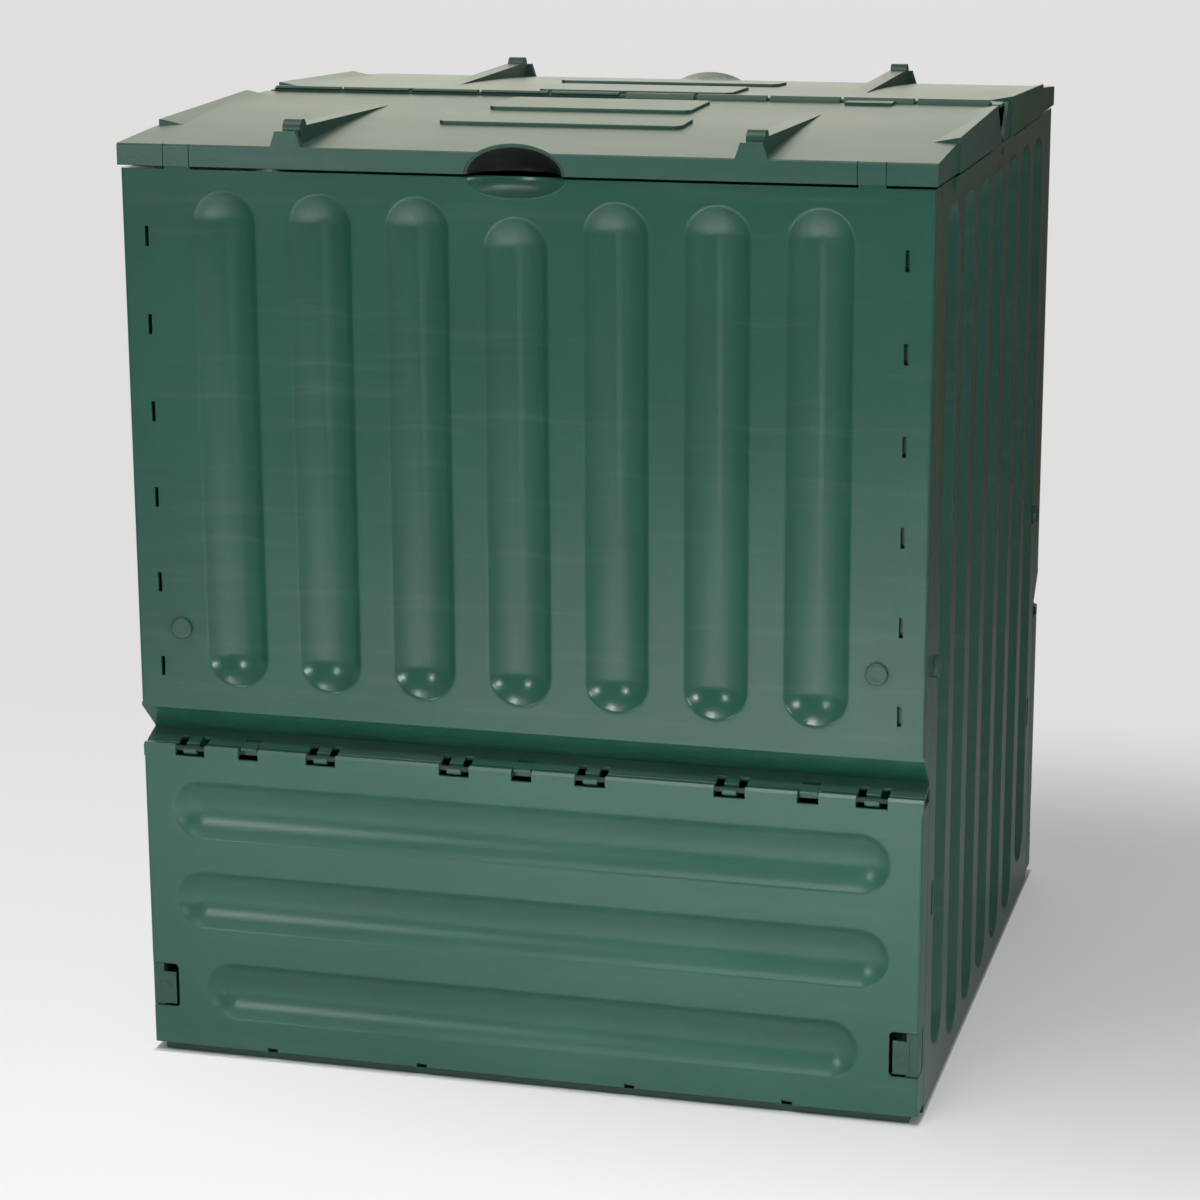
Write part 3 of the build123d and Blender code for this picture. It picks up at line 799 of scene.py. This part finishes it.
@dataclass(frozen=True)
class PlugSet:
    """Round push plugs in one wall's margins, with a soft rim and a shallow dip."""

    node: str
    side: Side
    across: float
    height: float
    shank: float
    out: float = 0.400
    radius: float = 0.011
    rim: float = 0.0024
    points: int = 40
    thick: float = 0.008
    smooth_turn: float = 50.0
    facing: float = 0.9
    rings: tuple[tuple[float, float], ...] = (
        (0.0003, 0.0010),
        (0.0008, 0.0008),
        (0.0014, 0.0004),
        (0.0020, -0.0004),
        (0.0030, -0.0003),
    )

    def head(self) -> bpy.types.Object:
        """Model one plug at the origin, facing up, with its shank below.

        Returns:
            The plug, not yet placed.
        """
        deselect_all()
        bpy.ops.mesh.primitive_cylinder_add(
            vertices=self.points, radius=self.radius, depth=self.rim, location=(0, 0, self.rim / 2)
        )
        plug = bpy.context.object
        settle(plug)
        bpy.context.tool_settings.mesh_select_mode = (False, False, True)
        for face in plug.data.polygons:
            face.select = face.normal.z > self.facing
        bpy.ops.object.mode_set(mode="EDIT")
        for inward, up in self.rings:
            bpy.ops.mesh.inset(thickness=inward)
            bpy.ops.transform.translate(value=(0, 0, up))
        bpy.ops.mesh.select_all(action="DESELECT")
        middle = (0, 0, -self.shank / 2)
        bpy.ops.mesh.primitive_cube_add(size=self.thick, location=middle)
        bpy.ops.transform.resize(value=(1, 1, self.shank / self.thick), center_override=middle)
        bpy.ops.object.mode_set(mode="OBJECT")
        return plug

    def build(self) -> bpy.types.Object:
        """Place two copies, join them and dress them.

        Returns:
            The finished plugs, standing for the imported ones.
        """
        master = self.head()
        placed = []
        for sign in (-1.0, 1.0):
            copy = master.copy()
            copy.data = master.data.copy()
            bpy.context.scene.collection.objects.link(copy)
            spot = Matrix.Translation((sign * self.across, -self.out, self.height))
            copy.matrix_world = self.side.turned() @ spot @ STAND
            settle(copy)
            placed.append(copy)
        bpy.data.objects.remove(master)
        piece = join(placed, self.node + "_heads")
        smooth(piece, self.smooth_turn)
        slot = slot_of(self.node)
        FINISHES[slot].dress(piece)
        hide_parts(self.node)
        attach(piece, body_of(self.node))
        return piece


@dataclass
class Fittings:
    """Latches, plugs, pins, rails and ridge bar."""

    plain: tuple[str, ...] = ("front_sill", "rear_sill", "ridge_bar")
    pins: tuple[str, ...] = ("front_flap_pins", "rear_flap_pins")
    latches: tuple[str, ...] = ("front_right_latch", "front_left_latch", "rear_left_latch", "rear_right_latch")
    latch_edge: float = 0.0004
    latch_shortest: float = 0.008
    plugs: tuple[PlugSet, ...] = (
        PlugSet("front_wall_plugs", Side.FRONT, 0.353, 0.4565, 0.0425),
        PlugSet("rear_wall_plugs", Side.REAR, 0.353, 0.4565, 0.0425),
        PlugSet("right_wall_plugs", Side.RIGHT, 0.345, 0.4525, 0.0125),
        PlugSet("left_wall_plugs", Side.LEFT, 0.345, 0.4525, 0.0125),
    )

    def build(self) -> list[bpy.types.Object]:
        """Dress the small pieces, model the plugs and round the latches.

        Returns:
            The finished pieces.
        """
        pieces = [frame["nodes"][node] for node in self.plain + self.pins]
        for node in self.plain:
            FINISHES[slot_of(node)].dress(frame["nodes"][node])
        # The pins take the painted-shade pin finish in place of their slot's green.
        for node in self.pins:
            SHADED_PIN.dress(frame["nodes"][node])
        for plugs in self.plugs:
            pieces.append(plugs.build())
        for node in self.latches:
            latch = RoundedSkin(node, edge=self.latch_edge, shortest=self.latch_shortest, finish=LATCH)
            pieces.append(latch.build())
        return pieces


@dataclass(frozen=True)
class Lamp:
    """One square soft lamp."""

    name: str
    spot: Spot
    size: float
    power: float
    aim: Spot
    spread: float = 180.0
    tint: Colour = (1.0, 1.0, 1.0)

    def hang(self) -> None:
        """Hang the lamp, out of the camera's sight."""
        data = bpy.data.lights.new(self.name, "AREA")
        data.spread = math.radians(self.spread)
        data.color = self.tint
        data.size = self.size
        data.energy = self.power
        lamp = bpy.data.objects.new(self.name, data)
        bpy.context.scene.collection.objects.link(lamp)
        lamp.visible_camera = False
        lamp.location = self.spot
        lamp.rotation_euler = (Vector(self.aim) - Vector(self.spot)).to_track_quat("-Z", "Y").to_euler()


@dataclass(frozen=True)
class SweepPaint:
    """Pale paint of floor and backdrop, with a painted glow that the camera sees, brighter towards the front and away
    from the bin's shadow.
    """

    dull: Colour = (0.80, 0.79, 0.785)
    clean: Colour = (0.85, 0.85, 0.855)
    near_glow: Colour = (0.92, 0.925, 0.95)
    far_glow: Colour = (0.80, 0.79, 0.785)
    near_y: float = -1.6
    far_y: float = 2.4
    veil: float = 0.35
    far_veil: float = 0.9
    shade_middle: Spot = (0.45, 0.05, 0.0)
    shade_near: float = 0.4
    shade_far: float = 1.05
    footprint: float = 0.402
    roughness: float = 0.7
    cloud_scale: float = 0.8
    glow_ends: tuple[float, float] = (0.25, 0.6)

    @staticmethod
    def maths(nodes: bpy.types.Nodes, operation: str, kind: str = "ShaderNodeMath") -> bpy.types.Node:
        """Add a maths node.

        Args:
            nodes: Nodes of the material.
            operation: What it works out.
            kind: Plain or vector maths.

        Returns:
            The node.
        """
        made = nodes.new(kind)
        made.operation = operation
        return made

    def glow(self, nodes: bpy.types.Nodes, links: bpy.types.NodeLinks, where: bpy.types.NodeSocket) -> bpy.types.Node:
        """Add the painted glow that the camera sees, brighter towards the front and dimmer towards the back.

        Args:
            nodes: Nodes of the material.
            links: Links of the material.
            where: Object coordinates.

        Returns:
            The glow's shader node.
        """
        place = nodes.new("ShaderNodeSeparateXYZ")
        run = nodes.new("ShaderNodeMapRange")
        run.inputs["From Min"].default_value = self.near_y
        run.inputs["From Max"].default_value = self.far_y
        fade = colour_ramp(nodes, self.near_glow, self.far_glow, self.glow_ends)
        made = nodes.new("ShaderNodeEmission")
        links.new(where, place.inputs["Vector"])
        links.new(place.outputs["Y"], run.inputs["Value"])
        links.new(run.outputs["Result"], fade.inputs["Fac"])
        links.new(fade.outputs["Color"], made.inputs["Color"])
        return made

    def share(self, nodes: bpy.types.Nodes, links: bpy.types.NodeLinks, where: bpy.types.NodeSocket) -> bpy.types.Node:
        """Add the glow's share: less in the shadow, none under the bin.

        Args:
            nodes: Nodes of the material.
            links: Links of the material.
            where: Object coordinates.

        Returns:
            The node that puts out the share.
        """
        away = self.maths(nodes, "DISTANCE", "ShaderNodeVectorMath")
        away.inputs[1].default_value = self.shade_middle
        rise = nodes.new("ShaderNodeMapRange")
        rise.interpolation_type = "SMOOTHSTEP"
        rise.inputs["From Min"].default_value = self.shade_near
        rise.inputs["From Max"].default_value = self.shade_far
        rise.inputs["To Min"].default_value = self.veil
        rise.inputs["To Max"].default_value = self.far_veil
        reach = self.maths(nodes, "ABSOLUTE", "ShaderNodeVectorMath")
        sides = nodes.new("ShaderNodeSeparateXYZ")
        widest = self.maths(nodes, "MAXIMUM")
        outside = self.maths(nodes, "GREATER_THAN")
        outside.inputs[1].default_value = self.footprint
        made = self.maths(nodes, "MULTIPLY")
        links.new(where, away.inputs[0])
        links.new(away.outputs["Value"], rise.inputs["Value"])
        links.new(where, reach.inputs[0])
        links.new(reach.outputs["Vector"], sides.inputs["Vector"])
        links.new(sides.outputs["X"], widest.inputs[0])
        links.new(sides.outputs["Y"], widest.inputs[1])
        links.new(widest.outputs["Value"], outside.inputs[0])
        links.new(rise.outputs["Result"], made.inputs[0])
        links.new(outside.outputs["Value"], made.inputs[1])
        return made

    def material(self) -> bpy.types.Material:
        """Build the paint's material.

        Returns:
            The material.
        """
        made = bpy.data.materials.new("studio_sweep_paint")
        made.use_nodes = True
        nodes, links = made.node_tree.nodes, made.node_tree.links
        shader = nodes["Principled BSDF"]
        shader.inputs["Roughness"].default_value = self.roughness
        where = nodes.new("ShaderNodeTexCoord").outputs["Object"]
        cloud = nodes.new("ShaderNodeTexNoise")
        cloud.inputs["Scale"].default_value = self.cloud_scale
        tint = colour_ramp(nodes, self.dull, self.clean, (0.0, 1.0))
        glow = self.glow(nodes, links, where)
        share = self.share(nodes, links, where)
        ray = nodes.new("ShaderNodeLightPath")
        seen = self.maths(nodes, "MULTIPLY")
        mix = nodes.new("ShaderNodeMixShader")
        links.new(where, cloud.inputs["Vector"])
        links.new(cloud.outputs["Fac"], tint.inputs["Fac"])
        links.new(tint.outputs["Color"], shader.inputs["Base Color"])
        links.new(ray.outputs["Is Camera Ray"], seen.inputs[0])
        links.new(share.outputs["Value"], seen.inputs[1])
        links.new(seen.outputs["Value"], mix.inputs["Fac"])
        links.new(shader.outputs["BSDF"], mix.inputs[1])
        links.new(glow.outputs["Emission"], mix.inputs[2])
        links.new(mix.outputs["Shader"], nodes["Material Output"].inputs["Surface"])
        return made


@dataclass
class Studio:
    """Pale floor and backdrop, soft lamps and the camera."""

    azimuth: float = 15.25
    elevation: float = 14.1
    roll: float = -0.26
    distance: float = 3.541
    target: Spot = (-0.0277, 0.0, 0.408)
    lens: float = 96.84
    sensor: float = 36.0
    half_wide: float = 9.0
    half_deep: float = 5.0
    rise: float = 6.0
    bend: float = 2.0
    bend_steps: int = 16
    near: float = 0.01
    air: float = 0.22
    air_tint: Colour = (0.95, 0.97, 1.0)
    paper: Colour = (0.76, 0.75, 0.745)
    cloth_dark: Colour = (0.17, 0.10, 0.065)
    cloth_pale: Colour = (0.24, 0.15, 0.095)
    cloth_size: tuple[float, float] = (2.8, 1.5)
    cloth_spot: Spot = (0.66, 2.0, 0.75)
    cloth_turn: float = -85.3
    cloth_weave: float = 12.0
    cloth_roughness: float = 0.9
    lamps: tuple[Lamp, ...] = (
        Lamp("left_lamp", (-1.48, -3.06, 1.25), 0.32, 12.2, (0.0, -0.4, 0.25)),
        Lamp("right_lamp", (2.30, -2.35, 1.25), 0.32, 15.5, (0.0, -0.4, 0.25)),
        Lamp("top_lamp", (-0.5, -1.2, 3.4), 1.8, 20.0, (0.0, -0.2, 0.9)),
        Lamp("floor_lamp", (0.2, -2.05, 3.0), 0.9, 24.0, (0.2, -1.85, 0.0), 58.0),
        Lamp("rear_lamp", (-0.95, 2.8, 1.5), 2.6, 5.2, (-0.1, 0.0, 1.2), 80.0, (0.98, 1.0, 0.80)),
        Lamp("sweep_lamp", (-0.6, 2.6, 3.6), 2.0, 10.0, (-0.8, 5.0, 1.6), 120.0),
    )

    def backdrop(self) -> None:
        """Lay the pale floor and sweep it up into a backdrop."""
        deselect_all()
        bpy.ops.mesh.primitive_plane_add(size=2.0, location=(0, 0, 0))
        floor = bpy.context.object
        floor.name = "studio_sweep"
        floor.scale = (self.half_wide, self.half_deep, 1.0)
        settle(floor)
        for vertex in floor.data.vertices:
            vertex.select = vertex.co.y > 0.0
        for edge in floor.data.edges:
            edge.select = all(floor.data.vertices[k].co.y > 0.0 for k in edge.vertices)
        for face in floor.data.polygons:
            face.select = False
        bpy.ops.object.mode_set(mode="EDIT")
        bpy.ops.mesh.extrude_region_move(TRANSFORM_OT_translate={"value": (0, 0, self.rise)})
        bpy.ops.object.mode_set(mode="OBJECT")
        for edge in floor.data.edges:
            ends = [floor.data.vertices[k].co for k in edge.vertices]
            edge.select = all(abs(c.y - self.half_deep) < self.near and abs(c.z) < self.near for c in ends)
        bpy.ops.object.mode_set(mode="EDIT")
        bpy.ops.mesh.bevel(offset=self.bend, segments=self.bend_steps, affect="EDGES")
        bpy.ops.object.mode_set(mode="OBJECT")
        smooth(floor, SOFT_TURN)
        floor.data.materials.append(SweepPaint().material())

    def flag(self) -> None:
        """Stand a dark cloth panel beside the set, out of the picture, for the side wall to mirror."""
        deselect_all()
        bpy.ops.mesh.primitive_plane_add(size=1.0, rotation=(math.pi / 2, 0, math.radians(self.cloth_turn)))
        cloth = bpy.context.object
        cloth.name = "studio_flag"
        cloth.scale = (*self.cloth_size, 1.0)
        cloth.location = self.cloth_spot
        settle(cloth)
        made = bpy.data.materials.new("studio_flag_cloth")
        made.use_nodes = True
        nodes, links = made.node_tree.nodes, made.node_tree.links
        where = nodes.new("ShaderNodeTexCoord")
        weave = nodes.new("ShaderNodeTexNoise")
        weave.inputs["Scale"].default_value = self.cloth_weave
        tint = colour_ramp(nodes, self.cloth_dark, self.cloth_pale, (0.0, 1.0))
        shader = nodes["Principled BSDF"]
        shader.inputs["Roughness"].default_value = self.cloth_roughness
        links.new(where.outputs["Object"], weave.inputs["Vector"])
        links.new(weave.outputs["Fac"], tint.inputs["Fac"])
        links.new(tint.outputs["Color"], shader.inputs["Base Color"])
        cloth.data.materials.append(made)
        cloth.visible_camera = False

    def world(self) -> None:
        """Fill the set with dim even air, which the camera sees as pale paper."""
        world = bpy.data.worlds.new("studio_air")
        bpy.context.scene.world = world
        world.use_nodes = True
        nodes, links = world.node_tree.nodes, world.node_tree.links
        light = nodes["Background"]
        light.inputs["Color"].default_value = (*self.air_tint, 1.0)
        light.inputs["Strength"].default_value = self.air
        paper = nodes.new("ShaderNodeBackground")
        paper.inputs["Color"].default_value = (*self.paper, 1.0)
        ray = nodes.new("ShaderNodeLightPath")
        mix = nodes.new("ShaderNodeMixShader")
        links.new(ray.outputs["Is Camera Ray"], mix.inputs["Fac"])
        links.new(light.outputs["Background"], mix.inputs[1])
        links.new(paper.outputs["Background"], mix.inputs[2])
        links.new(mix.outputs["Shader"], nodes["World Output"].inputs["Surface"])

    def camera(self) -> None:
        """Set the camera at the photograph's angle."""
        data = bpy.data.cameras.new("studio_camera")
        data.sensor_width = self.sensor
        data.lens = self.lens
        camera = bpy.data.objects.new("studio_camera", data)
        bpy.context.scene.collection.objects.link(camera)
        az, el = math.radians(self.azimuth), math.radians(self.elevation)
        away = Vector((math.sin(az) * math.cos(el), -math.cos(az) * math.cos(el), math.sin(el)))
        camera.location = Vector(self.target) + away * self.distance
        look = (-away).to_track_quat("-Z", "Y").to_matrix().to_4x4()
        turn = Matrix.Rotation(math.radians(self.roll), 4, "Z")
        camera.rotation_euler = (look @ turn).to_euler()
        bpy.context.scene.camera = camera

    def build(self) -> None:
        """Make floor, cloth, air, lamps and camera."""
        bpy.context.scene.view_settings.view_transform = "Standard"
        self.backdrop()
        self.flag()
        self.world()
        for lamp in self.lamps:
            lamp.hang()
        self.camera()


def main() -> None:
    """Build the bin's looks and the studio in order."""
    logging.basicConfig(level=logging.INFO)
    Studio().build()
    for assembly in (Panels(), Lids(), Fittings()):
        for piece in assembly.build():
            LOG.info("%s: %d faces", piece.name, len(piece.data.polygons))


if __name__ == "__main__":
    main()
